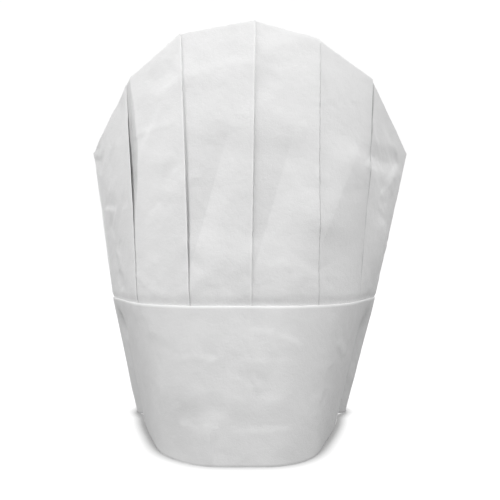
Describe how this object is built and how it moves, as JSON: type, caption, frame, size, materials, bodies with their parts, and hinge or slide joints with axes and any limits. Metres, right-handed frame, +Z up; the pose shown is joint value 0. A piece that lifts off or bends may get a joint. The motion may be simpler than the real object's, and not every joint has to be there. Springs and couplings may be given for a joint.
{
  "type": "chef toque",
  "caption": "Tall white paper chef toque: pleated crown flaring up from a headband, rim folded over to a gathered top, stick-down size adjuster at the back.",
  "frame": {"origin": "on the surface the hat stands on, under the middle of its footprint box", "axes": "+Z up through the crown, -Y towards the front, +X to the right as seen from the front"},
  "size_m": [0.2414, 0.2024, 0.2846],
  "materials": {
    "crown_paper": "matt, slightly fibrous",
    "band_paper": "matt, smooth",
    "tissue": "soft embossed tissue",
    "glue": "dried hot-melt glue",
    "adhesive": "tacky film",
    "liner_paper": "waxed release paper"
  },
  "bodies": {
    "hat": {"headband": "band_paper", "sweatband": "tissue", "band_glue_line": "glue", "crown_seam_glue": "glue", "crown_panel_01": "crown_paper", "crown_panel_02": "crown_paper", "crown_panel_03": "crown_paper", "crown_panel_04": "crown_paper", "crown_panel_05": "crown_paper", "crown_panel_06": "crown_paper", "crown_panel_07": "crown_paper", "crown_panel_08": "crown_paper", "crown_panel_09": "crown_paper", "crown_panel_10": "crown_paper", "crown_panel_11": "crown_paper", "crown_panel_12": "crown_paper", "top_gore_01": "crown_paper", "top_gore_02": "crown_paper", "top_gore_03": "crown_paper", "top_gore_04": "crown_paper", "top_gore_05": "crown_paper", "top_gore_06": "crown_paper", "top_gore_07": "crown_paper", "top_gore_08": "crown_paper", "top_gore_09": "crown_paper", "top_gore_10": "crown_paper", "top_gore_11": "crown_paper", "top_gore_12": "crown_paper", "gather_glue": "glue", "top_patch": "band_paper"},
    "tail": {"adjuster_tail": "band_paper", "tail_adhesive": "adhesive"},
    "liner": {"release_liner": "liner_paper"}
  },
  "joints": [
    {"name": "tail_slide", "type": "slide", "parent": "hat", "child": "tail", "axis": [1, 0, 0], "range_m": [-0.012, 0.012]},
    {"name": "liner_pull", "type": "slide", "parent": "tail", "child": "liner", "axis": [1, 0, 0], "range_m": [0, 0.045]}
  ]
}
